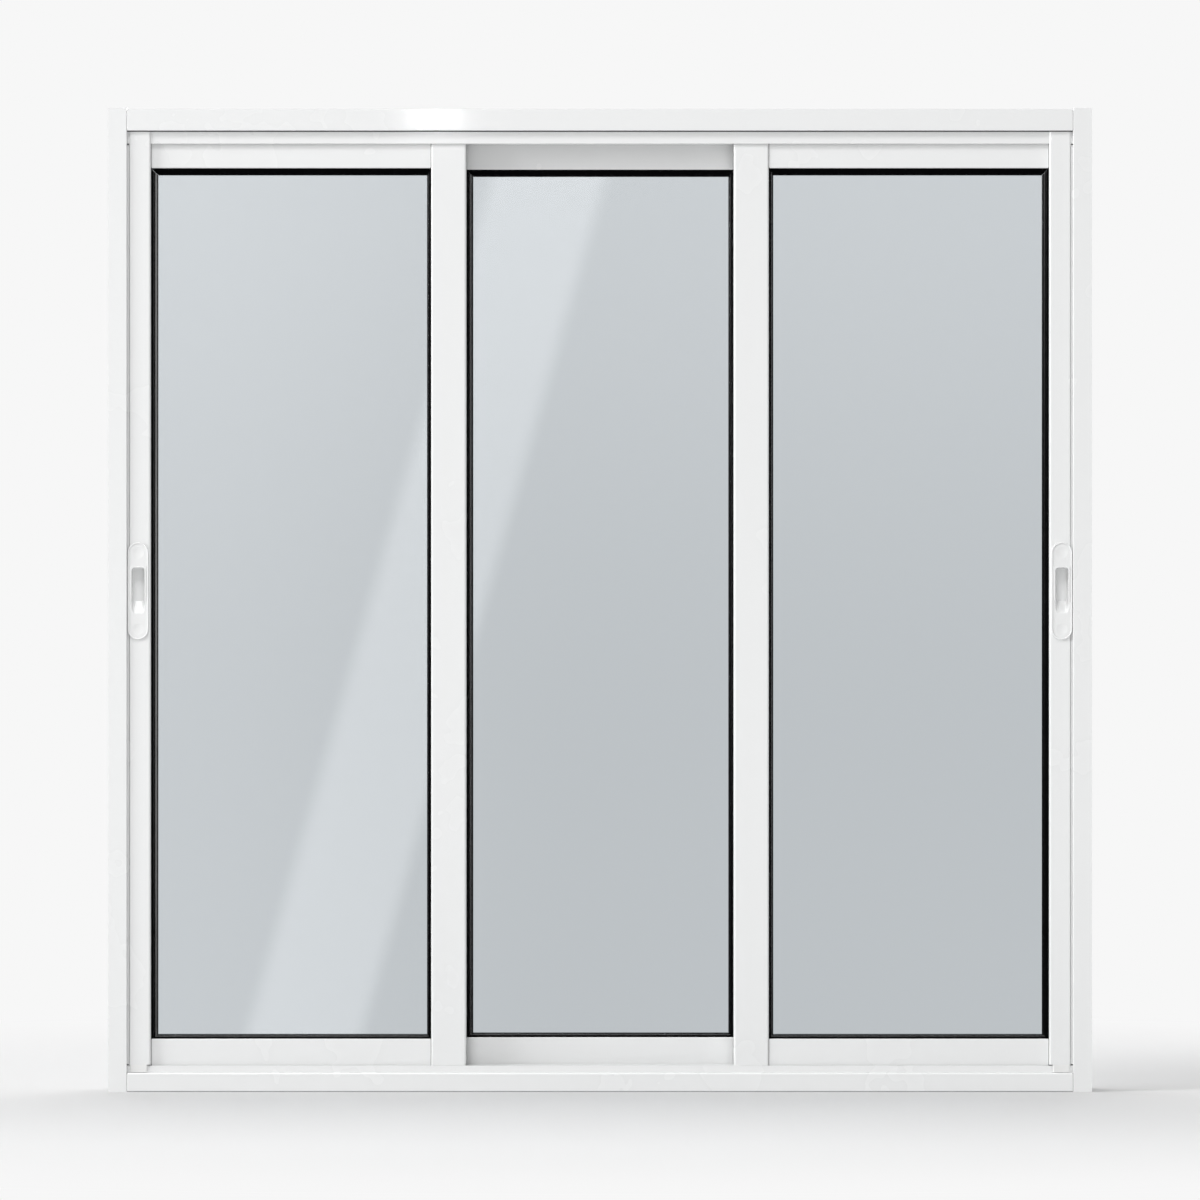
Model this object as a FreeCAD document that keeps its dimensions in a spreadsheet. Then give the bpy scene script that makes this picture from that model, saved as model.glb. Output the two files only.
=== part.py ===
import FreeCAD, Part
import math
import os
import types

import Sketcher

# A horizontal sliding window in white aluminium: an outer frame with two tracks, two end sashes
# with flush pulls in the front track and a centre sash in the rear track.
# Millimetres. X runs to the right, Y to the rear and Z up, seen from the room.
# The origin is on the floor line, in the middle of the width and of the depth.

SIZES = {
    "window_width": (1200, "overall width, over both jambs"),
    "window_height": (1200, "overall height, over the jambs"),
    "frame_wall": (1.5, "wall of the outer frame's extrusions"),
    "flange_return": (4, "inward lip along the open side of a frame channel"),
    "jamb_face": (23, "width of a jamb seen from the room"),
    "head_face": (26.3, "height of the head's face"),
    "sill_face": (22, "height of the sill's face"),
    "jamb_overrun": (1.2, "jambs stand past the head and the sill by this"),
    "rib_wall": (1.5, "thickness of the ribs that form the tracks"),
    "frame_arris": (1, "rounding of the frame's long edges"),
    "sill_arris": (2, "rounding of the sill's front and rear edges"),
    "end_rounding": (0.8, "rounding of the head's and the sill's ends beside the jambs"),
    "rib_set_back": (5.5, "frame face to the outer face of the first rib"),
    "head_rib_drop": (15.5, "ribs hang down from the head by this"),
    "sill_rib_rise": (8.5, "ribs stand up from the sill by this"),
    "rib_clearance": (1, "inner face of the first rib to the face of an interlock stile"),
    "roller_rail_width": (2, "width of the rail that the rollers run on"),
    "roller_rail_rise": (5.8, "height of the roller rail above the sill"),
    "jamb_fin_reach": (8, "jamb fin that stands into the stile's groove"),
    "fin_end_gap": (2, "fins and hooks stop short of the ribs by this"),
    "lip_gap": (0.5, "jamb's draught lip to the side of the stile"),
    "port_bore": (3.6, "bore of a screw port in the head and the sill"),
    "port_wall": (1.3, "wall of a screw port"),
    "port_mouth": (2, "slot along the open side of a screw port"),
    "port_inset": (12, "middle of a screw port to the frame's face"),
    "port_overlap": (0.4, "screw port sunk into the wall that carries it"),
    "screw_hole": (4.4, "hole for a corner screw in a jamb"),
    "fixing_hole": (6, "diameter of the wall-fixing holes in the jambs"),
    "fixing_inset": (11, "fixing holes to the rear face of the frame"),
    "fixing_pitch": (400, "spacing of the fixing holes up a jamb"),
    "weep_width": (25, "length of a drain slot in the sill's rear face"),
    "weep_height": (5, "height of a drain slot"),
    "weep_pitch": (380, "spacing of the drain slots"),
    "rail_depth": (17, "front to rear of a sash rail"),
    "sash_spacing": (7, "rear of a front sash to the front of the rear sash"),
    "sash_wall": (1.5, "wall of the sash extrusions"),
    "stile_arris": (2.5, "rounding of a stile's edge beside the pane"),
    "rail_arris": (1.2, "rounding of a rail's edge beside the pane"),
    "rail_end_rounding": (0.9, "rounding of a rail's ends beside the stiles"),
    "glazing_bite": (11, "depth of the glazing channel"),
    "stile_chamber": (5, "hollow between the two webs of an outer stile"),
    "rail_chamber": (10, "hollow between the two webs of a top rail"),
    "top_rail_face": (29.7, "top rail that shows below the head's rib"),
    "top_rail_hidden": (5.3, "top rail behind the head's rib"),
    "bottom_rail_face": (32.5, "bottom rail that shows above the sill's rib"),
    "bottom_rail_hidden": (4.7, "bottom rail behind the sill's rib"),
    "outer_stile_face": (26.2, "width of the stile beside a jamb"),
    "jamb_gap": (2.6, "running gap between a jamb and its stile"),
    "stile_head_gap": (1.2, "outer stile's top to the underside of the head"),
    "inner_stile_face": (42.8, "width of an interlock stile"),
    "inner_stile_proud": (1.5, "face of an interlock stile in front of the rails"),
    "mullion_offset": (184.8, "window centre to the middle of an interlock"),
    "hook_offset": (7, "middle of the interlock to a hook's leg"),
    "hook_reach": (10, "length of a hook's bent arm"),
    "hook_gap": (2, "space between the two hooked arms"),
    "glass_thickness": (4, "thickness of the panes"),
    "glass_edge_gap": (3, "pane edge to the bottom of the glazing channel"),
    "gasket_face": (6, "gasket that shows round a pane"),
    "gasket_leg": (4, "gasket inside the glazing channel"),
    "gasket_slope": (4, "bevel of a gasket towards the pane"),
    "tongue_gap": (0.2, "rail's end tongue to the stile's web"),
    "rib_side_gap": (0.5, "slot cut round a rib, on each side"),
    "rib_slot_gap": (1, "slot cut round a rib or rail, past its edge"),
    "rail_slot_side": (2, "slot cut round the roller rail, on each side"),
    "foot_rise": (9.2, "foot cap's height under an outer stile"),
    "foot_gap": (0.6, "foot cap's clearance over the sill"),
    "foot_inset": (4.2, "foot cap in from the stile's side at the pane"),
    "foot_edge_gap": (0.8, "foot cap in from the stile's side at the jamb"),
    "foot_plug": (12, "foot cap's plug inside the stile"),
    "foot_rounding": (1.5, "rounding of the foot cap's front edges"),
    "plug_gap": (0.1, "plug to the stile's chamber walls"),
    "wheel_diameter": (14, "roller wheel"),
    "wheel_width": (6, "roller wheel along its axle"),
    "wheel_groove": (1.5, "depth of the groove in the wheel's rim"),
    "axle_diameter": (4, "axle of a roller"),
    "axle_gap": (0.15, "wheel bore to axle"),
    "running_gap": (0.3, "wheel groove to roller rail"),
    "roller_inset": (60, "roller's middle from the stile"),
    "roller_length": (36, "roller housing along the rail"),
    "roller_cheek": (2.4, "cheek of the roller housing"),
    "roller_drop": (21, "height of the roller housing"),
    "housing_gap": (0.2, "housing to the rail's walls"),
    "block_length": (60, "setting block under the centre sash"),
    "block_inset": (50, "setting block's middle from the stile"),
    "pull_width": (25.6, "flush pull across"),
    "pull_height": (118.8, "flush pull from end to end"),
    "pull_centre_height": (611, "middle of the pull above the floor line"),
    "pull_shift": (2.2, "pull's middle from the stile's middle, towards the jamb"),
    "pull_plate": (2, "pull's plate in front of the stile"),
    "pull_rim": (1.8, "width of the raised rim"),
    "pull_dish": (0.8, "face of the plate behind the rim"),
    "recess_width": (16, "finger recess across"),
    "recess_height": (57, "finger recess from top to bottom"),
    "recess_depth": (11, "finger recess behind the rim"),
    "recess_corner": (4, "rounding of the recess"),
    "recess_back_rounding": (1.5, "rounding between the recess's back and sides"),
    "recess_lip": (1.8, "raised lip round the finger recess"),
    "thumb_dish_edge": (4, "flat ring between a round thumb dish and the rim"),
    "thumb_dish_depth": (0.6, "depth of the round dishes"),
    "rim_rounding": (0.7, "rounding of the pull's rim"),
    "lip_rounding": (0.4, "rounding of the lip round the recess"),
    "recess_ramp": (16, "height of the sloping ramp at the recess's lower end"),
    "cup_wall": (1.2, "wall of the cup behind the recess"),
    "cup_gap": (0.2, "cup to the stile's cut-out"),
}


class Length:
    """A length that knows its number and the sheet formula that it comes from."""

    def __init__(self, number, formula):
        self.number = number
        self.formula = formula

    def __add__(self, other):
        return Length(self.number + other.number, f"({self.formula} + {other.formula})")

    def __sub__(self, other):
        return Length(self.number - other.number, f"({self.formula} - {other.formula})")

    def __mul__(self, factor):
        return Length(self.number * factor, f"({self.formula} * {factor})")

    def __truediv__(self, factor):
        return Length(self.number / factor, f"({self.formula} / {factor})")

    def __neg__(self):
        return Length(-self.number, f"(0 - {self.formula})")


ZERO = Length(0.0, "0")

doc = FreeCAD.newDocument("sliding_window")
sheet = doc.addObject("Spreadsheet::Sheet", "sizes")


def fill_sheet():
    """Puts each driving dimension in a row of the sheet and gives the cell its name."""
    lengths = {}
    for row, (name, (number, meaning)) in enumerate(SIZES.items(), start=1):
        sheet.set(f"A{row}", meaning)
        sheet.set(f"B{row}", str(number))
        sheet.setAlias(f"B{row}", name)
        lengths[name] = Length(float(number), f"sizes.{name}")
    return types.SimpleNamespace(**lengths)


S = fill_sheet()
doc.recompute()


PLANES = {"x": "YZ_Plane", "y": "XZ_Plane", "z": "XY_Plane"}


def new_body(label, x=ZERO, y=ZERO, z=ZERO):
    """An empty body, placed at a point of the window."""
    body = doc.addObject("PartDesign::Body", label)
    body.Label = label
    for axis, place in (("x", x), ("y", y), ("z", z)):
        body.setExpression(f".Placement.Base.{axis}", place.formula)
    return body


def new_sketch(body, name, axis, start):
    """A sketch square to one of the body's axes, start away from its origin."""
    sketch = body.newObject("Sketcher::SketchObject", name)
    plane = next(part for part in body.Origin.OriginFeatures if part.Role == PLANES[axis])
    sketch.AttachmentSupport = (plane, "")
    sketch.MapMode = "FlatFace"
    # the XZ plane looks to the front, so a place along Y changes its sign there
    offset = -start if axis == "y" else start
    sketch.setExpression(".AttachmentOffset.Base.z", offset.formula)
    return sketch


def hold(sketch, constraint, length):
    """Adds a measured constraint and ties it to the sheet."""
    sketch.setExpression(f"Constraints[{sketch.addConstraint(constraint)}]", length.formula)


def draw_outline(sketch, corners):
    """A closed line round the corners, each held at its distances from the origin."""
    first = sketch.GeometryCount
    count = len(corners)
    points = [FreeCAD.Vector(across.number, up.number, 0) for across, up in corners]
    for index in range(count):
        sketch.addGeometry(Part.LineSegment(points[index], points[(index + 1) % count]))
    for index, (across, up) in enumerate(corners):
        line = first + index
        following = first + (index + 1) % count
        sketch.addConstraint(Sketcher.Constraint("Coincident", line, 2, following, 1))
        hold(sketch, Sketcher.Constraint("DistanceX", -1, 1, line, 1, across.number), across)
        hold(sketch, Sketcher.Constraint("DistanceY", -1, 1, line, 1, up.number), up)


def rectangle(left, right, low, high):
    return [(left, low), (right, low), (right, high), (left, high)]


def vector(across, up):
    return FreeCAD.Vector(across.number, up.number, 0)


def hold_centre(sketch, curve, across, up):
    hold(sketch, Sketcher.Constraint("DistanceX", -1, 1, curve, 3, across.number), across)
    hold(sketch, Sketcher.Constraint("DistanceY", -1, 1, curve, 3, up.number), up)


def circle(across, up, diameter):
    def draw(sketch):
        normal = FreeCAD.Vector(0, 0, 1)
        ring = sketch.addGeometry(Part.Circle(vector(across, up), normal, diameter.number / 2))
        hold_centre(sketch, ring, across, up)
        hold(sketch, Sketcher.Constraint("Diameter", ring, diameter.number), diameter)
    return draw


def capsule(width, height):
    """Two half circles joined by straight sides, round the origin."""
    radius = width / 2
    reach = height / 2 - radius

    def draw(sketch):
        normal = FreeCAD.Vector(0, 0, 1)
        arcs = []
        for middle, start in ((reach, 0), (-reach, math.pi)):
            ring = Part.Circle(vector(ZERO, middle), normal, radius.number)
            arc = sketch.addGeometry(Part.ArcOfCircle(ring, start, start + math.pi))
            hold_centre(sketch, arc, ZERO, middle)
            hold(sketch, Sketcher.Constraint("Radius", arc, radius.number), radius)
            arcs.append(arc)
        upper, lower = arcs
        for side, top_end, low_end in ((-radius, 2, 1), (radius, 1, 2)):
            line = sketch.addGeometry(Part.LineSegment(vector(side, reach), vector(side, -reach)))
            sketch.addConstraint(Sketcher.Constraint("Tangent", upper, top_end, line, 1))
            sketch.addConstraint(Sketcher.Constraint("Tangent", line, 2, lower, low_end))
    return draw


def draw_shapes(sketch, shapes):
    for shape in shapes:
        if callable(shape):
            shape(sketch)
        else:
            draw_outline(sketch, shape)


def pad(body, name, axis, start, length, outlines):
    """Grows the outlines from start along the axis."""
    sketch = new_sketch(body, f"{name}_outline", axis, start)
    draw_shapes(sketch, outlines)
    feature = body.newObject("PartDesign::Pad", name)
    feature.Profile = sketch
    feature.Reversed = axis == "y"
    feature.setExpression("Length", length.formula)
    doc.recompute()
    return feature


def pocket(body, name, axis, start, length, outlines):
    """Cuts the outlines away from start along the axis."""
    volume = body.Shape.Volume
    sketch = new_sketch(body, f"{name}_outline", axis, start)
    draw_shapes(sketch, outlines)
    feature = body.newObject("PartDesign::Pocket", name)
    feature.Profile = sketch
    feature.Reversed = axis != "y"
    feature.setExpression("Length", length.formula)
    doc.recompute()
    if body.Shape.Volume >= volume:
        raise ValueError(f"{body.Label}: {name} cuts nothing")
    return feature


TOUCH = 0.01


def runs_at(axis, places):
    """A test for straight edges along an axis, at these places of the section."""
    across, up = {"x": "YZ", "y": "XZ", "z": "XY"}[axis]

    def wanted(box):
        straight = getattr(box, f"{across}Length") < TOUCH and getattr(box, f"{up}Length") < TOUCH
        low = (getattr(box, f"{across}Min"), getattr(box, f"{up}Min"))
        near = any(
            abs(low[0] - first.number) < TOUCH and abs(low[1] - second.number) < TOUCH
            for first, second in places
        )
        return straight and near and getattr(box, f"{axis.upper()}Length") > TOUCH

    return wanted


def dress_edges(body, kind, name, size_name, size, wanted):
    """Rounds or bevels the edges of the last feature that the test picks."""
    base = body.Tip
    numbered = enumerate(base.Shape.Edges, start=1)
    picked = [f"Edge{number}" for number, edge in numbered if wanted(edge.BoundBox)]
    feature = body.newObject(f"PartDesign::{kind}", name)
    feature.Base = (base, picked)
    feature.setExpression(size_name, size.formula)
    doc.recompute()
    return feature


# A section is drawn as pairs: how deep from front to rear, and how far outwards from the panes.
# Each piece turns the pairs to the side of the window where it stands.

def upwards(depth, out):
    return depth, out


def downwards(depth, out):
    return depth, -out


def rightwards(depth, out):
    return out, depth


def leftwards(depth, out):
    return -out, depth


def turn(section, facing):
    return [[facing(depth, out) for depth, out in corners] for corners in section]


# Places that several pieces share

half_pitch = (S.rail_depth + S.sash_spacing) / 2
inner_stile_front = -(S.rail_depth / 2) - S.inner_stile_proud
front_rib = inner_stile_front - half_pitch - S.rib_clearance - S.rib_wall
outer_stile_front = front_rib - S.rib_side_gap - S.sash_wall + half_pitch
front_face = front_rib - S.rib_set_back
rear_face = -front_face
outer_rib = -front_rib - S.rib_wall / 2
jamb_inner = S.window_width / 2 - S.jamb_face
sill_top = S.jamb_overrun + S.sill_face
head_bottom = S.window_height - S.jamb_overrun - S.head_face
sill_rib_top = sill_top + S.sill_rib_rise
head_rib_bottom = head_bottom - S.head_rib_drop
roller_rail_top = sill_top + S.roller_rail_rise
port_outside = S.port_bore + S.port_wall * 2
port_height = S.frame_wall - S.port_overlap + port_outside / 2
port_places = {"front": front_face + S.port_inset, "rear": rear_face - S.port_inset}
half_rail = S.rail_depth / 2
wall = S.sash_wall
bite = S.glazing_bite
web_end = bite + wall
outer_stile_edge = jamb_inner - S.jamb_gap - S.outer_stile_face
half_mullion = S.inner_stile_face / 2
end_sash_inner_edge = S.mullion_offset + half_mullion
centre_sash_edge = S.mullion_offset - half_mullion
opening_top = head_rib_bottom - S.top_rail_face
opening_bottom = sill_rib_top + S.bottom_rail_face
opening_height = opening_top - opening_bottom
sash_top = head_rib_bottom + S.top_rail_hidden
sash_bottom = sill_rib_top - S.bottom_rail_hidden
bottom_web = opening_bottom - web_end
foot_bottom = sill_top + S.foot_gap
foot_top = foot_bottom + S.foot_rise
cup_width = S.recess_width + S.cup_wall * 2
cup_height = S.recess_height + S.cup_wall * 2
cup_depth = S.recess_depth - S.pull_plate + S.cup_wall
pull_middle = outer_stile_edge + S.outer_stile_face / 2 + S.pull_shift


# Outer frame


def frame_section(face, ribs):
    """A channel that opens to the wall, with ribs on the side of the panes."""
    wall = S.frame_wall
    lip = S.flange_return
    corners = [(front_face, ZERO)]
    for left, right, reach in ribs:
        corners += [(left, ZERO), (left, -reach), (right, -reach), (right, ZERO)]
    corners += [
        (rear_face, ZERO),
        (rear_face, face),
        (rear_face - lip, face),
        (rear_face - lip, face - wall),
        (rear_face - wall, face - wall),
        (rear_face - wall, wall),
        (front_face + wall, wall),
        (front_face + wall, face - wall),
        (front_face + lip, face - wall),
        (front_face + lip, face),
        (front_face, face),
    ]
    return [corners]


def rib_at(middle, width, reach):
    return (middle - width / 2, middle + width / 2, reach)


def track_ribs(reach):
    """The three ribs that stand in front of, between and behind the two tracks."""
    return [rib_at(middle, S.rib_wall, reach) for middle in (-outer_rib, ZERO, outer_rib)]


def make_head():
    body = new_body("head", x=-jamb_inner, z=head_bottom)
    section = frame_section(S.head_face, track_ribs(S.head_rib_drop))
    pad(body, "head_profile", "x", ZERO, jamb_inner * 2, turn(section, upwards))
    edges = runs_at("x", [upwards(front_face, ZERO), upwards(rear_face, ZERO)])
    dress_edges(body, "Fillet", "arris", "Radius", S.frame_arris, edges)
    round_ends(body)
    screw_ports(body, upwards)


def round_ends(body):
    """Rounds the upright edges where the face of the head or the sill meets the jambs."""
    ends = runs_at("z", [(ZERO, front_face), (jamb_inner * 2, front_face)])
    dress_edges(body, "Fillet", "end_rounding", "Radius", S.end_rounding, ends)


def screw_ports(body, facing):
    """Two slotted tubes along the channel, which the corner screws bite into."""
    length = jamb_inner * 2
    half_mouth = S.port_mouth / 2
    end = port_height + port_outside / 2
    for name, middle in port_places.items():
        across, up = facing(middle, port_height)
        tube = [circle(across, up, port_outside), circle(across, up, S.port_bore)]
        pad(body, f"{name}_port", "x", ZERO, length, tube)
        mouth = rectangle(middle - half_mouth, middle + half_mouth, port_height, end)
        pocket(body, f"{name}_port_mouth", "x", ZERO, length, turn([mouth], facing))


def make_sill():
    body = new_body("sill", x=-jamb_inner, z=sill_top)
    first, second, last = track_ribs(S.sill_rib_rise)
    front_rail = rib_at(-half_pitch, S.roller_rail_width, S.roller_rail_rise)
    rear_rail = rib_at(half_pitch, S.roller_rail_width, S.roller_rail_rise)
    section = frame_section(S.sill_face, [first, front_rail, second, rear_rail, last])
    pad(body, "sill_profile", "x", ZERO, jamb_inner * 2, turn(section, downwards))
    edges = runs_at("x", [downwards(front_face, ZERO), downwards(rear_face, ZERO)])
    dress_edges(body, "Fillet", "arris", "Radius", S.sill_arris, edges)
    round_ends(body)
    screw_ports(body, downwards)
    middle = jamb_inner - S.weep_pitch
    half_slot = S.weep_width / 2
    top = -S.frame_wall
    slot = rectangle(middle - half_slot, middle + half_slot, top - S.weep_height, top)
    cut = pocket(body, "weep_slot", "y", rear_face - S.frame_wall, S.frame_wall, [slot])
    repeat(body, "weep_slots", cut, "H_Axis", S.weep_pitch * 2, 3)


def repeat(body, name, feature, direction, length, count):
    """Repeats a cut along a direction of its sketch."""
    pattern = body.newObject("PartDesign::LinearPattern", name)
    pattern.Originals = [feature]
    pattern.Direction = (feature.Profile[0], [direction])
    pattern.setExpression("Length", length.formula)
    pattern.Occurrences = count
    body.Tip = pattern
    doc.recompute()


def make_jamb(label, side, facing):
    body = new_body(label, x=jamb_inner * side)
    section = turn(frame_section(S.jamb_face, []), facing)
    pad(body, "jamb_profile", "z", ZERO, S.window_height, section)
    edges = runs_at("z", [facing(front_face, ZERO), facing(rear_face, ZERO)])
    dress_edges(body, "Fillet", "arris", "Radius", S.frame_arris, edges)
    start = sill_rib_top + S.fin_end_gap
    length = head_rib_bottom - S.fin_end_gap - start
    lip_reach = S.jamb_gap - S.lip_gap
    for name, middle, reach in (
        ("front_lip", -outer_rib, lip_reach),
        ("front_fin", -half_pitch, S.jamb_fin_reach),
        ("rear_fin", half_pitch, S.jamb_fin_reach),
        ("rear_lip", outer_rib, lip_reach),
    ):
        fin = rectangle(middle - S.rib_wall / 2, middle + S.rib_wall / 2, -reach, ZERO)
        pad(body, name, "z", start, length, turn([fin], facing))
    web = ZERO if side > 0 else -S.frame_wall
    lowest = S.window_height / 2 - S.fixing_pitch
    hole = circle(rear_face - S.fixing_inset, lowest, S.fixing_hole)
    cut = pocket(body, "fixing_hole", "x", web, S.frame_wall, [hole])
    repeat(body, "fixing_holes", cut, "V_Axis", S.fixing_pitch * 2, 3)
    holes = [
        circle(middle, height, S.screw_hole)
        for middle in port_places.values()
        for height in (sill_top - port_height, head_bottom + port_height)
    ]
    pocket(body, "screw_holes", "x", web, S.frame_wall, holes)


make_head()
make_sill()
make_jamb("left_jamb", -1, leftwards)
make_jamb("right_jamb", 1, rightwards)


# Sashes

def rail_section(height, chamber):
    """Two walls and a web that make the glazing channel, and a second web past the chamber."""
    corners = [
        (-half_rail, ZERO),
        (wall - half_rail, ZERO),
        (wall - half_rail, bite),
        (half_rail - wall, bite),
        (half_rail - wall, ZERO),
        (half_rail, ZERO),
        (half_rail, height),
        (half_rail - wall, height),
    ]
    if chamber is None:
        return [corners + [
            (half_rail - wall, web_end),
            (wall - half_rail, web_end),
            (wall - half_rail, height),
            (-half_rail, height),
        ]]
    far = web_end + chamber + wall
    corners += [
        (half_rail - wall, far),
        (wall - half_rail, far),
        (wall - half_rail, height),
        (-half_rail, height),
    ]
    return [corners, rectangle(wall - half_rail, half_rail - wall, web_end, web_end + chamber)]


def make_rail(label, track, left, right, edge, height, facing, chamber=None):
    """A rail between two stiles, its ends cut back to a tongue that enters their channels."""
    tongue = bite - S.tongue_gap
    body = new_body(label, x=left - tongue, y=track, z=edge)
    length = right - left + tongue * 2
    pad(body, "rail_profile", "x", ZERO, length, turn(rail_section(height, chamber), facing))
    edges = runs_at("x", [facing(-half_rail, ZERO), facing(half_rail, ZERO)])
    dress_edges(body, "Fillet", "arris", "Radius", S.rail_arris, edges)
    walls = [
        rectangle(-half_rail, wall - half_rail, ZERO, height),
        rectangle(half_rail - wall, half_rail, ZERO, height),
    ]
    pocket(body, "left_tongue", "x", ZERO, tongue, turn(walls, facing))
    pocket(body, "right_tongue", "x", length - tongue, tongue, turn(walls, facing))
    ends = runs_at("z", [(tongue, -half_rail), (length - tongue, -half_rail)])
    dress_edges(body, "Fillet", "end_rounding", "Radius", S.rail_end_rounding, ends)


def roller_rail_slot(body, width, facing, bottom):
    """Lets the foot of a stile pass over the rail that the rollers run on."""
    side = S.roller_rail_width / 2 + S.rail_slot_side
    cut = turn([rectangle(-side, side, ZERO, width)], facing)
    pocket(body, "roller_rail_slot", "z", ZERO, roller_rail_top + S.rib_slot_gap - bottom, cut)


def make_outer_stile(label, side, facing):
    """The stile beside a jamb. Its front chamber stands in front of the frame's first rib."""
    face = S.outer_stile_face
    top = head_bottom - S.stile_head_gap
    bottom = sash_bottom
    front = outer_stile_front
    groove = web_end + S.stile_chamber + wall
    body = new_body(label, x=outer_stile_edge * side, y=-half_pitch, z=bottom)
    section = [
        [
            (front, ZERO),
            (front, face),
            (wall - half_rail, face),
            (wall - half_rail, groove),
            (half_rail - wall, groove),
            (half_rail - wall, face),
            (half_rail, face),
            (half_rail, ZERO),
            (half_rail - wall, ZERO),
            (half_rail - wall, bite),
            (wall - half_rail, bite),
            (wall - half_rail, ZERO),
        ],
        rectangle(front + wall, -half_rail, wall, face - wall),
        rectangle(wall - half_rail, half_rail - wall, web_end, web_end + S.stile_chamber),
    ]
    pad(body, "stile_profile", "z", ZERO, top - bottom, turn(section, facing))
    edges = runs_at("z", [facing(front, ZERO), facing(front, face)])
    dress_edges(body, "Fillet", "arris", "Radius", S.stile_arris, edges)
    rib = front_rib + half_pitch
    rib_slot = rectangle(rib - S.rib_side_gap, rib + S.rib_wall + S.rib_side_gap, ZERO, face)
    start = head_rib_bottom - S.rib_slot_gap
    pocket(body, "rib_slot", "z", start - bottom, top - start, turn([rib_slot], facing))
    foot_seat = rectangle(front, wall - half_rail, ZERO, face)
    pocket(body, "foot_seat", "z", ZERO, foot_top - bottom, turn([foot_seat], facing))
    roller_rail_slot(body, face, facing, bottom)
    half_cup = cup_width / 2 + S.cup_gap
    half_cup_height = cup_height / 2 + S.cup_gap
    centre = pull_middle - outer_stile_edge
    height = S.pull_centre_height - bottom
    left, right = centre - half_cup, centre + half_cup
    if side < 0:
        left, right = -right, -left
    mortise = rectangle(left, right, height - half_cup_height, height + half_cup_height)
    pocket(body, "pull_mortise", "y", front, cup_depth + S.cup_gap, [mortise])


def make_foot_cap(label, side, facing):
    """A plastic shoe under an outer stile, plugged into its front chamber."""
    face = S.outer_stile_face
    front = outer_stile_front
    body = new_body(label, x=outer_stile_edge * side, y=-half_pitch, z=foot_bottom)
    block = rectangle(front, wall - half_rail, S.foot_inset, face - S.foot_edge_gap)
    pad(body, "shoe", "z", ZERO, S.foot_rise, turn([block], facing))
    sides = [facing(front, S.foot_inset), facing(front, face - S.foot_edge_gap)]
    dress_edges(body, "Fillet", "front_rounding", "Radius", S.foot_rounding, runs_at("z", sides))
    gap = S.plug_gap
    plug = rectangle(front + wall + gap, -half_rail - gap, wall + gap, face - wall - gap)
    pad(body, "plug", "z", S.foot_rise, S.foot_plug, turn([plug], facing))
    rib = front_rib + half_pitch
    slot = rectangle(rib - S.rib_side_gap, rib + S.rib_wall + S.rib_side_gap, ZERO, face)
    height = sill_rib_top + S.rib_side_gap - foot_bottom
    pocket(body, "rib_slot", "z", ZERO, height, turn([slot], facing))


def make_interlock_stile(label, track, side, facing, way):
    """The stile where two sashes lap. Way is 1 in the front track and -1 in the rear one."""
    face = S.inner_stile_face
    front = inner_stile_front
    edge = S.mullion_offset + half_mullion * way
    body = new_body(label, x=edge * side, y=track, z=sash_bottom)
    section = [
        [
            (front, ZERO),
            (front, face),
            (half_rail, face),
            (half_rail, ZERO),
            (half_rail - wall, ZERO),
            (half_rail - wall, bite),
            (front + wall, bite),
            (front + wall, wall),
            (wall - half_rail, wall),
            (wall - half_rail, ZERO),
        ],
        rectangle(front + wall, half_rail - wall, web_end, face - wall),
    ]
    arm = half_pitch + S.hook_gap / 2
    leg = half_mullion + S.hook_offset
    hook = [
        [
            (half_rail, leg - wall),
            (half_rail, leg),
            (arm + wall, leg),
            (arm + wall, leg - S.hook_reach),
            (arm, leg - S.hook_reach),
            (arm, leg - wall),
        ]
    ]

    def lie(outlines):
        return turn([[(depth * way, out) for depth, out in line] for line in outlines], facing)

    pad(body, "stile_profile", "z", ZERO, sash_top - sash_bottom, lie(section))
    edges = runs_at("z", [facing(front * way, ZERO), facing(front * way, face)])
    dress_edges(body, "Fillet", "arris", "Radius", S.stile_arris, edges)
    start = sill_rib_top + S.fin_end_gap
    end = head_rib_bottom - S.fin_end_gap
    pad(body, "interlock_hook", "z", start - sash_bottom, end - start, lie(hook))
    roller_rail_slot(body, face, facing, sash_bottom)


def make_glass(label, track, left, right):
    reach = bite - S.glass_edge_gap
    body = new_body(label, x=left, y=track, z=opening_bottom)
    pane = rectangle(-reach, right - left + reach, -reach, opening_height + reach)
    pad(body, "pane", "y", -(S.glass_thickness / 2), S.glass_thickness, [pane])


def make_gasket(label, track, left, right, side):
    """A rubber frame between the channel's wall and the pane, bevelled towards the pane."""
    body = new_body(label, x=left, y=track, z=opening_bottom)
    width = right - left
    depth = half_rail - wall - S.glass_thickness / 2
    start = S.glass_thickness / 2 if side > 0 else -(S.glass_thickness / 2) - depth
    leg = S.gasket_leg
    face = S.gasket_face
    outer = rectangle(-leg, width + leg, -leg, opening_height + leg)
    inner = rectangle(face, width - face, face, opening_height - face)
    pad(body, "gasket_ring", "y", start, depth, [outer, inner])
    proud = (half_rail - wall).number * side
    limit = width.number - face.number + TOUCH

    def inner_front_edge(box):
        inside = box.XMin > face.number - TOUCH and box.XMax < limit
        return inside and abs(box.YMin - proud) < TOUCH and abs(box.YMax - proud) < TOUCH

    dress_edges(body, "Chamfer", "gasket_bevel", "Size", S.gasket_slope, inner_front_edge)


# Rollers, blocks and pulls

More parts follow.
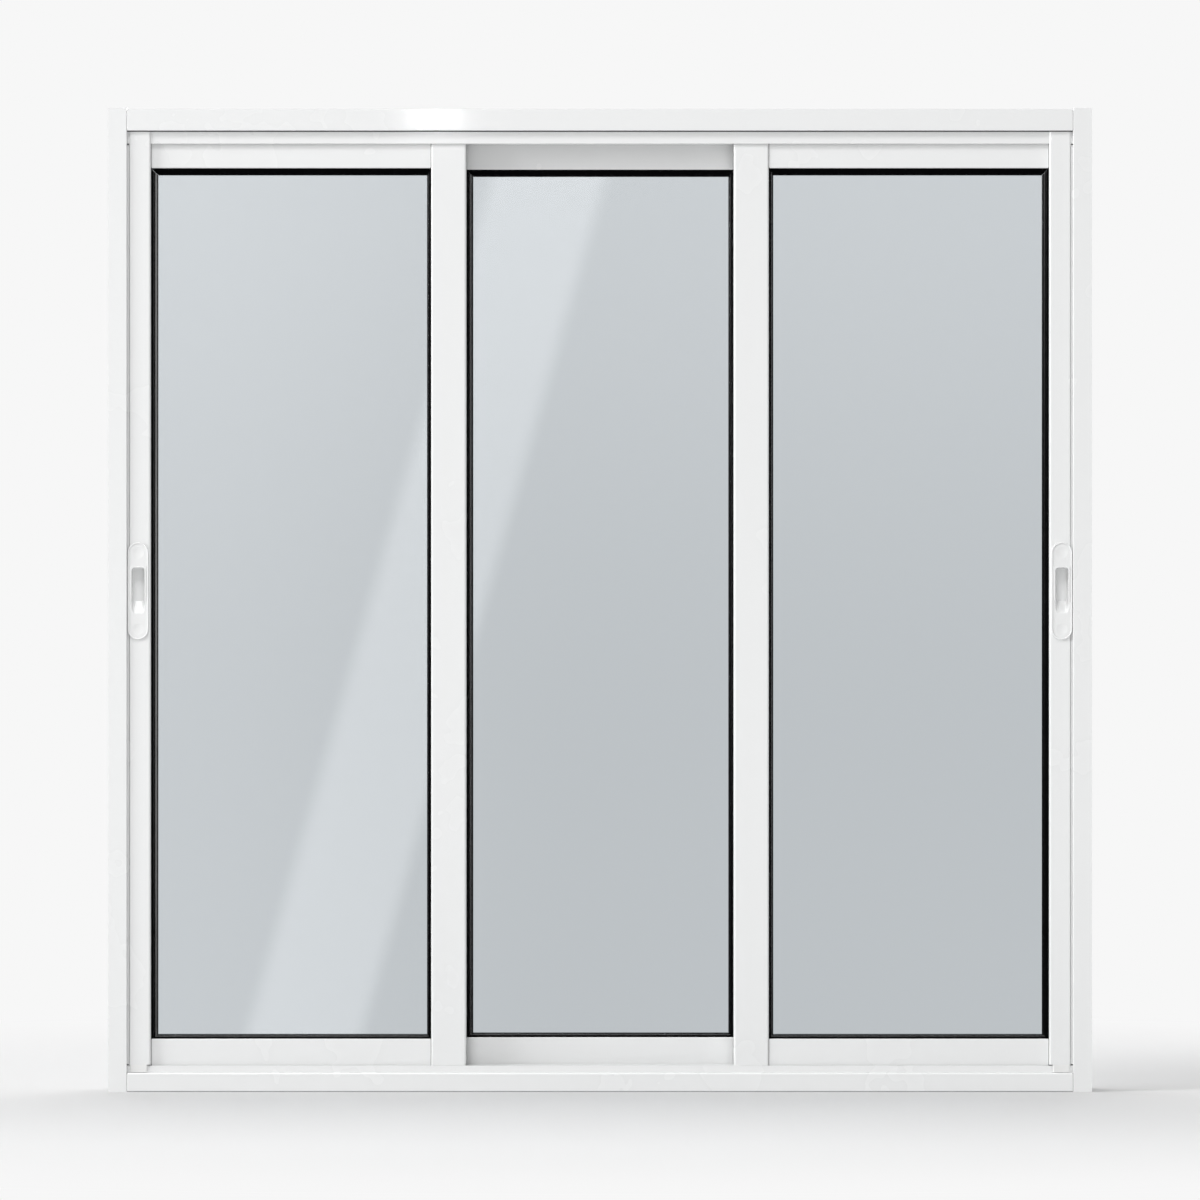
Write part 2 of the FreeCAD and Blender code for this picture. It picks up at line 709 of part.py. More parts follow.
def make_wheel(label, middle, height):
    """A grooved wheel, turned round its axle."""
    body = new_body(label, x=middle, y=-half_pitch, z=height)
    sketch = new_sketch(body, "wheel_outline", "x", ZERO)
    side = S.wheel_width / 2
    rim = S.wheel_diameter / 2
    floor = rim - S.wheel_groove
    bore = S.axle_diameter / 2 + S.axle_gap
    seat = S.roller_rail_width / 2 + S.running_gap
    mouth = seat + S.running_gap
    draw_outline(sketch, [
        (-side, bore),
        (side, bore),
        (side, rim),
        (mouth, rim),
        (seat, floor),
        (-seat, floor),
        (-mouth, rim),
        (-side, rim),
    ])
    wheel = body.newObject("PartDesign::Revolution", "wheel")
    wheel.Profile = sketch
    wheel.ReferenceAxis = (sketch, ["H_Axis"])
    doc.recompute()
    return body


def make_roller_housing(label, middle, height):
    """An inverted U that carries the axle, under the web of the bottom rail."""
    body = new_body(label, x=middle, y=-half_pitch, z=height)
    half = half_rail - wall - S.housing_gap
    reach = S.roller_length / 2
    top = bottom_web - height
    low = top - S.roller_drop
    inside = half - S.roller_cheek
    plan = rectangle(-reach, reach, -half, half)
    pad(body, "housing", "z", low, S.roller_drop, [plan])
    slot = rectangle(-reach, reach, -inside, inside)
    pocket(body, "wheel_slot", "z", low, S.roller_drop - S.roller_cheek, [slot])
    pad(body, "axle", "y", -half, half * 2, [circle(ZERO, ZERO, S.axle_diameter)])
    return body


def make_rollers(label, left, right):
    height = roller_rail_top + S.running_gap + S.wheel_diameter / 2 - S.wheel_groove
    pieces = []
    for end, middle in (("left", left + S.roller_inset), ("right", right - S.roller_inset)):
        pieces.append(make_roller_housing(f"{label}_{end}_housing", middle, height))
        pieces.append(make_wheel(f"{label}_{end}_wheel", middle, height))
    gather(label, pieces)


def gather(label, pieces):
    """One sub-part made of like pieces that don't touch."""
    group = doc.addObject("Part::Compound", label)
    group.Label = label
    group.Links = pieces
    doc.recompute()


def make_setting_blocks(label, left, right):
    half = half_rail - wall - S.housing_gap
    reach = S.block_length / 2
    slot_side = S.roller_rail_width / 2 + S.running_gap
    pieces = []
    for end, middle in (("left", left + S.block_inset), ("right", right - S.block_inset)):
        body = new_body(f"{label}_{end}_block", x=middle, y=half_pitch, z=sill_top)
        plan = rectangle(-reach, reach, -half, half)
        pad(body, "block", "z", ZERO, bottom_web - sill_top, [plan])
        slot = rectangle(-reach, reach, -slot_side, slot_side)
        pocket(body, "rail_slot", "z", ZERO, S.roller_rail_rise + S.running_gap, [slot])
        pieces.append(body)
    gather(label, pieces)


def make_pull(label, side):
    """A capsule-shaped plate with a raised rim and a finger recess that ends in a ramp."""
    stile_face = outer_stile_front - half_pitch
    body = new_body(label, x=pull_middle * side, y=stile_face, z=S.pull_centre_height)
    front = -S.pull_plate
    dished = S.pull_dish - S.pull_plate
    half_width = S.recess_width / 2
    half_height = S.recess_height / 2
    pad(body, "plate", "y", front, S.pull_plate, [capsule(S.pull_width, S.pull_height)])
    inset = S.pull_rim * 2
    dish = capsule(S.pull_width - inset, S.pull_height - inset)
    pocket(body, "dished_face", "y", front, S.pull_dish, [dish])
    thumb_dishes(body, dished)
    half_cup = cup_width / 2
    cup = rectangle(-half_cup, half_cup, -(cup_height / 2), cup_height / 2)
    pad(body, "cup", "y", -S.cup_wall, cup_depth + S.cup_wall, [cup])
    lip_side = half_width + S.recess_lip
    lip = rectangle(-lip_side, lip_side, S.recess_ramp - half_height, half_height + S.recess_lip)
    pad(body, "recess_lip", "y", front, S.pull_plate, [lip])
    back = S.recess_depth - S.pull_plate
    profile = [
        (front, half_height),
        (back, half_height),
        (back, S.recess_ramp - half_height),
        (front, -half_height),
    ]
    pocket(body, "finger_recess", "x", -half_width, S.recess_width, [profile])
    corners = [(side, half_height) for side in (-half_width, half_width)]
    top_corners = runs_at("y", corners)

    def ramp_side(box):
        at_side = abs(abs(box.XMin) - half_width.number) < TOUCH and box.XLength < TOUCH
        slopes = box.YLength > TOUCH and box.ZLength > TOUCH
        return at_side and slopes and box.ZMax < 0

    def recess_corner(box):
        return top_corners(box) or ramp_side(box)

    dress_edges(body, "Fillet", "recess_corners", "Radius", S.recess_corner, recess_corner)

    def back_edge(box):
        return abs(box.YMin - back.number) < TOUCH and box.YLength < TOUCH

    dress_edges(body, "Fillet", "back_rounding", "Radius", S.recess_back_rounding, back_edge)

    lip_reach = lip_side.number + TOUCH

    def rim_edge(box):
        level = abs(box.YMin - front.number) < TOUCH and box.YLength < TOUCH
        beside_lip = box.XMin > lip_reach or box.XMax < -lip_reach
        return level and (beside_lip or box.ZLength > TOUCH and box.XLength > lip_reach)

    dress_edges(body, "Fillet", "rim_rounding", "Radius", S.rim_rounding, rim_edge)

    def lip_edge(box):
        level = abs(box.YMin - front.number) < TOUCH and box.YLength < TOUCH
        return level and box.XMin > -lip_reach and box.XMax < lip_reach

    dress_edges(body, "Fillet", "lip_rounding", "Radius", S.lip_rounding, lip_edge)


def thumb_dishes(body, face):
    """Two shallow round dishes in the plate's rounded ends."""
    reach = S.pull_width / 2 - S.pull_rim - S.thumb_dish_edge
    depth = S.thumb_dish_depth
    middle = (S.pull_height - S.pull_width) / 2
    # a shallow round cut of this reach and depth belongs to a ball of this radius
    ball = (reach.number ** 2 + depth.number ** 2) / (2 * depth.number)
    ball_formula = f"({reach.formula} ^ 2 + {depth.formula} ^ 2) / (2 * {depth.formula})"
    radius = Length(ball, ball_formula)
    for name, height in (("upper", middle), ("lower", -middle)):
        sphere = body.newObject("PartDesign::SubtractiveSphere", f"{name}_thumb_dish")
        sphere.setExpression("Radius", radius.formula)
        sphere.setExpression(".Placement.Base.y", (face + depth - radius).formula)
        sphere.setExpression(".Placement.Base.z", height.formula)
        doc.recompute()


# The end sashes and the centre sash

for name, side, outward, inward in (
    ("left", -1, leftwards, rightwards),
    ("right", 1, rightwards, leftwards),
):
    sash = f"{name}_sash"
    near, far = end_sash_inner_edge, outer_stile_edge
    left, right = (near, far) if side > 0 else (-far, -near)
    make_outer_stile(f"{sash}_outer_stile", side, outward)
    make_foot_cap(f"{sash}_foot_cap", side, outward)
    make_interlock_stile(f"{sash}_inner_stile", -half_pitch, side, inward, 1)
    make_rail(
        f"{sash}_top_rail", -half_pitch, left, right, opening_top,
        S.top_rail_face + S.top_rail_hidden, upwards, S.rail_chamber,
    )
    make_rail(
        f"{sash}_bottom_rail", -half_pitch, left, right, opening_bottom,
        S.bottom_rail_face + S.bottom_rail_hidden, downwards,
    )
    make_glass(f"{sash}_glass", -half_pitch, left, right)
    make_gasket(f"{sash}_front_gasket", -half_pitch, left, right, -1)
    make_gasket(f"{sash}_rear_gasket", -half_pitch, left, right, 1)
    make_rollers(f"{sash}_rollers", left, right)
    make_pull(f"{sash}_pull", side)

left, right = -centre_sash_edge, centre_sash_edge
make_interlock_stile("centre_sash_left_stile", half_pitch, -1, leftwards, -1)
make_interlock_stile("centre_sash_right_stile", half_pitch, 1, rightwards, -1)
make_rail(
    "centre_sash_top_rail", half_pitch, left, right, opening_top,
    S.top_rail_face + S.top_rail_hidden, upwards, S.rail_chamber,
)
make_rail(
    "centre_sash_bottom_rail", half_pitch, left, right, opening_bottom,
    S.bottom_rail_face + S.bottom_rail_hidden, downwards,
)
make_glass("centre_sash_glass", half_pitch, left, right)
make_gasket("centre_sash_front_gasket", half_pitch, left, right, -1)
make_gasket("centre_sash_rear_gasket", half_pitch, left, right, 1)
make_setting_blocks("centre_sash_blocks", left, right)


def check_and_write():
    """Stops on a failed object, and writes one file for each sub-part."""
    doc.recompute()
    for thing in doc.Objects:
        if "Invalid" in thing.State or "Error" in thing.State:
            raise RuntimeError(f"{thing.Label} is {thing.State}")
    gathered = [thing for thing in doc.Objects if thing.TypeId == "Part::Compound"]
    members = {body.Name for group in gathered for body in group.Links}
    bodies = [thing for thing in doc.Objects if thing.TypeId == "PartDesign::Body"]
    subparts = [body for body in bodies if body.Name not in members] + gathered
    for subpart in subparts:
        if subpart.Shape.isNull() or not subpart.Shape.isValid():
            raise RuntimeError(f"{subpart.Label} has no valid shape")
    os.makedirs("parts", exist_ok=True)
    for subpart in subparts:
        subpart.Shape.exportStep(f"parts/{subpart.Label}.step")
        print(subpart.Label, len(subpart.Shape.Solids), round(subpart.Shape.Volume))


check_and_write()
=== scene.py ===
# %% [markdown]
# # A white three-pane sliding window
# The aluminium profiles, panes, gaskets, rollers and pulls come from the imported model, at their
# real size. This script dresses them: it gives every part its finish, adds the small pieces that
# are too fine for the construction model, and sets up a plain photo studio around the window.

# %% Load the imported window
import math

import bmesh
import bpy
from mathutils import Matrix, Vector


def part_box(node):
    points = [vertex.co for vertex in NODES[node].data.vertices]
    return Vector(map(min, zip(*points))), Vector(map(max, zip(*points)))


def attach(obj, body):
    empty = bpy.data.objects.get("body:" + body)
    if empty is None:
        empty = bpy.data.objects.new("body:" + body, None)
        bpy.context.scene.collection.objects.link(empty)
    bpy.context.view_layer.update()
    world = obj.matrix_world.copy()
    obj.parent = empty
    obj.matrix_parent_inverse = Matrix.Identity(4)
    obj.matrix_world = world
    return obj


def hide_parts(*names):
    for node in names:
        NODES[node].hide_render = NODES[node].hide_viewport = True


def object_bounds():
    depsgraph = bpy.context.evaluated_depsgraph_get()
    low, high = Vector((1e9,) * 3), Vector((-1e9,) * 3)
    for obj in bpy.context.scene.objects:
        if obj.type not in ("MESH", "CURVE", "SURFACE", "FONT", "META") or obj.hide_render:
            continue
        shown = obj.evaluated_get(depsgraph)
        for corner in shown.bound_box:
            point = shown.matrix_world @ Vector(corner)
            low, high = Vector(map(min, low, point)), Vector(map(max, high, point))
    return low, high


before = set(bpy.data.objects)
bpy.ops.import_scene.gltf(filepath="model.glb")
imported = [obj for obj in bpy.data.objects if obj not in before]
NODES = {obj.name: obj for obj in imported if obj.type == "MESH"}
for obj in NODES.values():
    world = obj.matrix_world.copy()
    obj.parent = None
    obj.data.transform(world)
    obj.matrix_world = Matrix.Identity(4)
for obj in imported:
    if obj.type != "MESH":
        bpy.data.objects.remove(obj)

MM = 0.001
CAD_BOX = [list(corner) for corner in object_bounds()]
print("nodes:", len(NODES), "box in metres:", CAD_BOX)

# %% [markdown]
# ## The camera
# The photograph looks straight at the front from far away, so the two jambs look equally wide and
# almost nothing of the frame's depth shows. A long lens on a level camera, at half the window's
# height, does the same. The frame's width fills 984 of the picture's 1200 pixels, which gives the
# width of the view, and the distance then gives the focal length.

# %% Camera
PICTURE_SIDE = 1200
WINDOW_IN_PICTURE = 984
CAMERA_DISTANCE = 7.0
SENSOR = 36.0

low, high = (Vector(corner) for corner in CAD_BOX)
width = high.x - low.x
height = high.z - low.z
view_width = width * PICTURE_SIDE / WINDOW_IN_PICTURE
camera_data = bpy.data.cameras.new("camera")
camera_data.sensor_width = SENSOR
camera_data.lens = SENSOR * CAMERA_DISTANCE / view_width
camera = bpy.data.objects.new("camera", camera_data)
camera.location = (0, low.y - CAMERA_DISTANCE, low.z + height / 2)
camera.rotation_euler = (math.radians(90), 0, 0)
bpy.context.collection.objects.link(camera)
bpy.context.scene.camera = camera
print("lens in mm:", round(camera_data.lens, 1))

# %% [markdown]
# ## Helpers for node materials
# Every finish below is made of shader nodes, and a few small helpers keep those cells short. The
# first two add a node with its settings and its inputs, the next two start a node group and place
# it in a material, and the last one makes a material with its shader and output.

# %% Node helpers
COLOUR = "NodeSocketColor"
NUMBER = "NodeSocketFloat"


def in_use(sockets, name):
    """The socket with this name, or this number, that the node's settings leave in use."""
    if isinstance(name, int):
        return sockets[name]
    return next(socket for socket in sockets if socket.name == name and socket.enabled)


def add_node(tree, kind, inputs=None, **settings):
    """Adds a node with its properties. Each input is a value or another node's output."""
    node = tree.nodes.new(kind)
    for name, value in settings.items():
        setattr(node, name, value)
    for name, value in (inputs or {}).items():
        socket = in_use(node.inputs, name)
        if isinstance(value, bpy.types.NodeSocket):
            tree.links.new(value, socket)
        else:
            socket.default_value = value
    return node


print("node helpers ready")


# %% Group and material helpers
def new_group(name, inputs, outputs):
    """Starts a node group. inputs are (name, kind, default) and outputs are (name, kind)."""
    group = bpy.data.node_groups.new(name, "ShaderNodeTree")
    for label, kind, default in inputs:
        socket = group.interface.new_socket(label, in_out="INPUT", socket_type=kind)
        socket.default_value = default
    for label, kind in outputs:
        group.interface.new_socket(label, in_out="OUTPUT", socket_type=kind)
    entry = group.nodes.new("NodeGroupInput")
    leave = group.nodes.new("NodeGroupOutput")
    return group, entry, leave


def place_group(tree, group, inputs):
    """Places a node group in a material, with its own values."""
    node = tree.nodes.new("ShaderNodeGroup")
    node.node_tree = group
    for name, value in inputs.items():
        node.inputs[name].default_value = value
    return node


def new_material(name):
    """A material with only a Principled shader, joined to the output."""
    material = bpy.data.materials.new(name)
    material.use_nodes = True
    tree = material.node_tree
    tree.nodes.clear()
    shader = tree.nodes.new("ShaderNodeBsdfPrincipled")
    output = tree.nodes.new("ShaderNodeOutputMaterial")
    tree.links.new(shader.outputs["BSDF"], output.inputs["Surface"])
    return material, tree, shader


print("group and material helpers ready")

# %% [markdown]
# ## Effect: orange peel
# Sprayed and baked coatings aren't quite flat: they keep a fine ripple, which coaters call orange
# peel, a few millimetres from crest to crest and a few thousandths deep. It could be modelled, but
# it is far too fine for a mesh, so a noise gives the height, and a Bump node in each material turns
# it into a tilt of the surface. A second, wider noise varies the gloss a little.

# %% Orange peel group
GLOSS_PATCHES_PER_METRE = 9.0

peel_group, peel_in, peel_out = new_group(
    "orange_peel",
    [("Crests per metre", NUMBER, 300.0), ("Low roughness", NUMBER, 0.2),
     ("High roughness", NUMBER, 0.3)],
    [("Height", NUMBER), ("Roughness", NUMBER)],
)
peel_place = add_node(peel_group, "ShaderNodeTexCoord")
peel_ripple = add_node(
    peel_group, "ShaderNodeTexNoise",
    {"Vector": peel_place.outputs["Object"], "Scale": peel_in.outputs["Crests per metre"],
     "Detail": 1.0, "Roughness": 0.4},
)
peel_patches = add_node(
    peel_group, "ShaderNodeTexNoise",
    {"Vector": peel_place.outputs["Object"], "Scale": GLOSS_PATCHES_PER_METRE,
     "Detail": 3.0, "Roughness": 0.6},
)
peel_gloss = add_node(
    peel_group, "ShaderNodeMapRange",
    {"Value": peel_patches.outputs["Fac"], "From Min": 0.3, "From Max": 0.7,
     "To Min": peel_in.outputs["Low roughness"], "To Max": peel_in.outputs["High roughness"]},
)
peel_group.links.new(peel_ripple.outputs["Fac"], peel_out.inputs["Height"])
peel_group.links.new(peel_gloss.outputs["Result"], peel_out.inputs["Roughness"])
print("group:", peel_group.name, "outputs:", [item.name for item in peel_out.inputs if item.name])

# %% [markdown]
# ## Effect: cloudy tone
# No batch of paint, rubber or plastic is one even colour over a metre. Two nearly equal colours
# are mixed by a large soft noise, so that wide faces aren't dead flat in tone.

# %% Cloudy tone group
tone_group, tone_in, tone_out = new_group(
    "cloudy_tone",
    [("Colour", COLOUR, (0.8, 0.8, 0.8, 1)), ("Other colour", COLOUR, (0.7, 0.7, 0.7, 1)),
     ("Clouds per metre", NUMBER, 4.0)],
    [("Colour", COLOUR)],
)
tone_place = add_node(tone_group, "ShaderNodeTexCoord")
tone_clouds = add_node(
    tone_group, "ShaderNodeTexNoise",
    {"Vector": tone_place.outputs["Object"], "Scale": tone_in.outputs["Clouds per metre"],
     "Detail": 2.0, "Roughness": 0.5},
)
tone_mix = add_node(
    tone_group, "ShaderNodeMix",
    {"Factor": tone_clouds.outputs["Fac"], "A": tone_in.outputs["Colour"],
     "B": tone_in.outputs["Other colour"]},
    data_type="RGBA",
)
tone_group.links.new(in_use(tone_mix.outputs, "Result"), tone_out.inputs["Colour"])
print("group:", tone_group.name)

# %% [markdown]
# ## Coated, moulded and metal finishes
# The frame is powder coated, the pulls are enamelled, the blocks, caps and rollers are moulded, the
# gaskets are extruded rubber, the joints hold sealer and foam, and the screws are zinc-plated. The
# sealer and the foam are partly painted shade: their greys stand in for the shadow lines in the
# joints. All of these are a coloured surface with a cloudy tone and a fine ripple, so one function
# builds them, and each call gives the values that tell them apart. Colours are scene-linear, so
# 0.81 is a bright paint white and 0.001 a rubber black.

# %% The function that builds a finish
def coated(name, colour, other, clouds, crests, ripple_depth, roughness,
           coat=0.0, coat_roughness=0.3, specular=0.5, metallic=0.0):
    """A surface whose tone drifts between two colours, with a fine ripple.

    clouds and crests are per metre, roughness is the pair that the gloss drifts between, and coat
    is the weight of a clear layer on top.
    """
    material, tree, shader = new_material(name)
    tone = place_group(tree, tone_group, {
        "Colour": (*colour, 1), "Other colour": (*other, 1), "Clouds per metre": clouds,
    })
    peel = place_group(tree, peel_group, {
        "Crests per metre": crests, "Low roughness": roughness[0], "High roughness": roughness[1],
    })
    bump = add_node(
        tree, "ShaderNodeBump", {"Height": peel.outputs["Height"], "Distance": ripple_depth},
    )
    tree.links.new(tone.outputs["Colour"], shader.inputs["Base Color"])
    tree.links.new(peel.outputs["Roughness"], shader.inputs["Roughness"])
    tree.links.new(bump.outputs["Normal"], shader.inputs["Normal"])
    shader.inputs["Coat Weight"].default_value = coat
    shader.inputs["Coat Roughness"].default_value = coat_roughness
    shader.inputs["Specular IOR Level"].default_value = specular
    shader.inputs["Metallic"].default_value = metallic
    print("finish:", name)
    return material


# %% Coated and moulded materials
powder_coat = coated(
    "white_powder_coat", colour=(0.81, 0.816, 0.816), other=(0.8115, 0.8175, 0.8175), clouds=1.5,
    crests=320.0, ripple_depth=0.0015 * MM, roughness=(0.27, 0.275), coat=0.3, coat_roughness=0.05,
)
pull_enamel = coated(
    "white_enamel", colour=(0.81, 0.815, 0.814), other=(0.8, 0.805, 0.805), clouds=30.0,
    crests=500.0, ripple_depth=0.0015 * MM, roughness=(0.2, 0.24), coat=0.3, coat_roughness=0.04,
)
white_plastic = coated(
    "white_moulding", colour=(0.79, 0.79, 0.78), other=(0.76, 0.765, 0.76), clouds=40.0,
    crests=1800.0, ripple_depth=0.006 * MM, roughness=(0.38, 0.46),
)
black_nylon = coated(
    "black_nylon", colour=(0.03, 0.03, 0.031), other=(0.045, 0.045, 0.046), clouds=60.0,
    crests=2500.0, ripple_depth=0.006 * MM, roughness=(0.4, 0.52),
)

# %% Rubber, sealer, foam and steel
black_rubber = coated(
    "black_rubber", colour=(0.0012, 0.0012, 0.0014), other=(0.002, 0.002, 0.0023), clouds=25.0,
    crests=1500.0, ripple_depth=0.002 * MM, roughness=(0.2, 0.26), specular=0.1,
)
# Painted shade in part: a real sealer, made dark grey so that it stands in for the shadow in the
# crevices and under the head.
shade_line_sealer = coated(
    "shade_line_sealer", colour=(0.05, 0.051, 0.053), other=(0.07, 0.071, 0.073), clouds=60.0,
    crests=900.0, ripple_depth=0.004 * MM, roughness=(0.5, 0.6),
)
# Painted shade in part: a real foam strip, whose grey gives the contact shadow line under the sill
# a set tone.
contact_shade_foam = coated(
    "contact_shade_foam", colour=(0.42, 0.42, 0.425), other=(0.36, 0.36, 0.365), clouds=120.0,
    crests=2500.0, ripple_depth=0.01 * MM, roughness=(0.7, 0.8),
)
zinc_steel = coated(
    "zinc_steel", colour=(0.6, 0.6, 0.61), other=(0.5, 0.5, 0.52), clouds=400.0,
    crests=3000.0, ripple_depth=0.003 * MM, roughness=(0.28, 0.4), metallic=1.0,
)

# %% [markdown]
# ## Float glass
# The panes are grey-blue float glass, flat to a few thousandths but for a very long, faint wave
# left by the rollers of the glass works. The pane is a real closed slab, so the shader can let
# light through it with its Transmission, and the tint is the Base Color. The wave is a Bump from a
# noise that is stretched along the pane's height, and it makes reflections in the glass drift.

# %% Glass material
GLASS_TINT = (0.562, 0.597, 0.624)
GLASS_TINT_THIN = (0.57, 0.604, 0.63)
GLASS_CLOUDS = 2.0
GLASS_IOR = 1.52
WAVE_STRETCH = (3.0, 3.0, 0.9)
WAVE_DEPTH = 0.02 * MM

pane_glass, glass_tree, glass_shader = new_material("grey_float_glass")
glass_tone = place_group(glass_tree, tone_group, {
    "Colour": (*GLASS_TINT, 1), "Other colour": (*GLASS_TINT_THIN, 1),
    "Clouds per metre": GLASS_CLOUDS,
})
glass_place = add_node(glass_tree, "ShaderNodeTexCoord")
glass_stretch = add_node(
    glass_tree, "ShaderNodeMapping",
    {"Vector": glass_place.outputs["Object"], "Scale": WAVE_STRETCH},
)
glass_wave = add_node(
    glass_tree, "ShaderNodeTexNoise",
    {"Vector": glass_stretch.outputs["Vector"], "Scale": 1.0, "Detail": 1.0},
)
glass_bump = add_node(
    glass_tree, "ShaderNodeBump", {"Height": glass_wave.outputs["Fac"], "Distance": WAVE_DEPTH},
)
glass_tree.links.new(glass_tone.outputs["Colour"], glass_shader.inputs["Base Color"])
glass_tree.links.new(glass_bump.outputs["Normal"], glass_shader.inputs["Normal"])
glass_shader.inputs["Roughness"].default_value = 0.0
glass_shader.inputs["IOR"].default_value = GLASS_IOR
glass_shader.inputs["Transmission Weight"].default_value = 1.0
print("finish:", pane_glass.name)

# %% [markdown]
# ## Finishes on the model's parts
# The model's parts keep their shape and only get a new material in their slot. A part's name ends
# with what it is, so a short list of endings says which finish it takes, and everything else is a
# powder-coated profile.

# %% Give each part its finish
FINISH_BY_ENDING = {
    "glass": pane_glass,
    "gasket": black_rubber,
    "pull": pull_enamel,
    "foot_cap": white_plastic,
    "blocks": black_nylon,
    "rollers": black_nylon,
}


def finish_for(name):
    """The finish that a part's name asks for."""
    for ending, material in FINISH_BY_ENDING.items():
        if name.endswith(ending):
            return material
    return powder_coat


for name, node in NODES.items():
    for material_slot in node.material_slots:
        material_slot.material = finish_for(name)
print("dressed:", {name: finish_for(name).name for name in sorted(NODES)})

# %% [markdown]
# ## Gaskets
# A gasket is a rubber strip pressed in between a profile and the pane. Each side of the pane has
# its own length, cut at a slant at both ends, so that the cuts meet in the corners. The model's
# plain rubber frames are replaced by such lengths here. A section is swept along each side: a
# rounded bead beside the profile, a fine groove, and a slope that ends in a thin lip on the pane.
# Behind the profile's edge a hidden leg goes on into the groove that holds it. In the photograph
# the upper and outer lengths show wider than the lower and inner ones.

# %% Helpers for meshes
def join_rings(drawing, ring, other, smooth=False):
    """Draws the faces between two closed rings that have as many points."""
    for index, corner in enumerate(ring):
        after = (index + 1) % len(ring)
        face = drawing.faces.new((corner, ring[after], other[after], other[index]))
        face.smooth = smooth


def closed_bar(drawing, starts, stops, smooth=False):
    """Draws a bar between two equal sections, with both its ends closed."""
    join_rings(drawing, starts, stops, smooth)
    drawing.faces.new(starts)
    drawing.faces.new(stops[::-1])


print("mesh helpers ready")

# %% Gasket sizes in millimetres
GASKET_LEG = 4.0
CUT_GAP = 0.12
# from the profile to the pane: share of the width that shows, and depth behind the gasket's face
GASKET_SECTION = (
    (0.0, 0.7), (0.02, 0.3), (0.06, 0.08), (0.12, 0.0), (0.3, 0.0), (0.37, 0.1), (0.4, 0.45),
    (0.44, 0.62), (0.48, 0.5), (0.52, 0.62), (0.62, 1.3), (0.74, 2.3), (0.86, 3.4), (0.94, 4.2),
    (0.97, 4.6), (1.0, 4.9), (1.0, 5.0),
)
# width that shows: left, right, top, bottom
GASKET_WIDTHS = {
    "left_sash": (8.4, 5.2, 8.4, 5.4),
    "centre_sash": (8.0, 6.0, 8.4, 5.4),
    "right_sash": (5.6, 8.2, 8.4, 5.4),
}
REAR_SHARE = 0.93
GASKET_CREASE = math.radians(50)
print("gasket section points:", len(GASKET_SECTION))


# %% How the four lengths of a gasket run
def gasket_lines(node, widths, inwards):
    """For each length of a gasket, the two ends of the line that each point of the section draws.

    inwards is 1 if the pane is behind the gasket, else -1.
    """
    box_low, box_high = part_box(node)
    face_y = box_low.y if inwards > 0 else box_high.y
    leg, gap = GASKET_LEG * MM, CUT_GAP * MM
    # a share of None is the far end of the hidden leg
    section = [(None, GASKET_SECTION[0][1]), *GASKET_SECTION, (None, GASKET_SECTION[-1][1])]
    lengths = {"left": [], "right": [], "top": [], "bottom": []}
    for share, depth in section:
        left, right, top, bottom = (
            -leg if share is None else share * width * MM for width in widths
        )
        x0 = box_low.x + leg + left
        x1 = box_high.x - leg - right
        z0 = box_low.z + leg + bottom
        z1 = box_high.z - leg - top
        y = face_y + depth * MM * inwards
        lengths["left"].append(((x0, y, z0 + gap), (x0, y, z1 - gap)))
        lengths["right"].append(((x1, y, z1 - gap), (x1, y, z0 + gap)))
        lengths["top"].append(((x0 + gap, y, z1), (x1 - gap, y, z1)))
        lengths["bottom"].append(((x1 - gap, y, z0), (x0 + gap, y, z0)))
    return lengths


# %% Make the six gaskets
def gasket_ring(node, widths, inwards):
    """Four mitred lengths round a pane, in place of the model's gasket."""
    drawing = bmesh.new()
    for lines in gasket_lines(node, widths, inwards).values():
        starts = [drawing.verts.new(start) for start, end in lines]
        stops = [drawing.verts.new(end) for start, end in lines]
        closed_bar(drawing, starts, stops, smooth=True)
    bmesh.ops.recalc_face_normals(drawing, faces=drawing.faces)
    mesh = bpy.data.meshes.new(f"{node}_lengths")
    drawing.to_mesh(mesh)
    drawing.free()
    mesh.set_sharp_from_angle(angle=GASKET_CREASE)
    mesh.materials.append(black_rubber)
    ring = bpy.data.objects.new(f"{node}_lengths", mesh)
    bpy.context.collection.objects.link(ring)
    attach(ring, "root")
    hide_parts(node)
    return ring


gasket_rings = []
for sash, widths in GASKET_WIDTHS.items():
    front = gasket_ring(f"{sash}_front_gasket", widths, 1)
    rear = gasket_ring(f"{sash}_rear_gasket", [width * REAR_SHARE for width in widths], -1)
    gasket_rings += [front, rear]
    print("gaskets:", front.name, rear.name, "faces:", len(front.data.polygons))

# %% [markdown]
# ## Seals and joints
# Where a rail meets a stile, and where the head and the sill meet the jambs, the rounded ends leave
# a fine crevice, which a fitter closes with a narrow bead of grey sealer. A grey rubber fin closes
# the corner under the head, and a strip of grey foam the slot under the sill. In the photograph
# they are the thin dark lines that part the profiles. They are partly real seals and partly painted
# shade: their greys stand in for the shadow that falls in the crevices, under the head and under
# the sill. Each has a short section, drawn as points in millimetres, which runs out along a
# straight line.

# %% Helpers for seals
def straight_run(drawing, section, run):
    """Draws a closed section out between the two ends that run gives for each of its points."""
    starts, stops = (
        [drawing.verts.new(run(point, end)) for point in section] for end in (0, 1)
    )
    closed_bar(drawing, starts, stops)


def new_piece(name, drawing, material):
    """Turns a drawing into an object of the window."""
    bmesh.ops.recalc_face_normals(drawing, faces=drawing.faces)
    mesh = bpy.data.meshes.new(name)
    drawing.to_mesh(mesh)
    drawing.free()
    mesh.materials.append(material)
    piece = bpy.data.objects.new(name, mesh)
    bpy.context.collection.objects.link(piece)
    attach(piece, "root")
    print("piece:", name, "faces:", len(mesh.polygons))
    return piece


# %% Beads between rails and stiles
# across the joint, and depth behind the rail's face
RAIL_BEAD = ((0.0, 0.95), (0.0, 0.06), (0.25, 0.16), (0.5, 0.12), (0.85, 0.03), (0.35, 0.45))

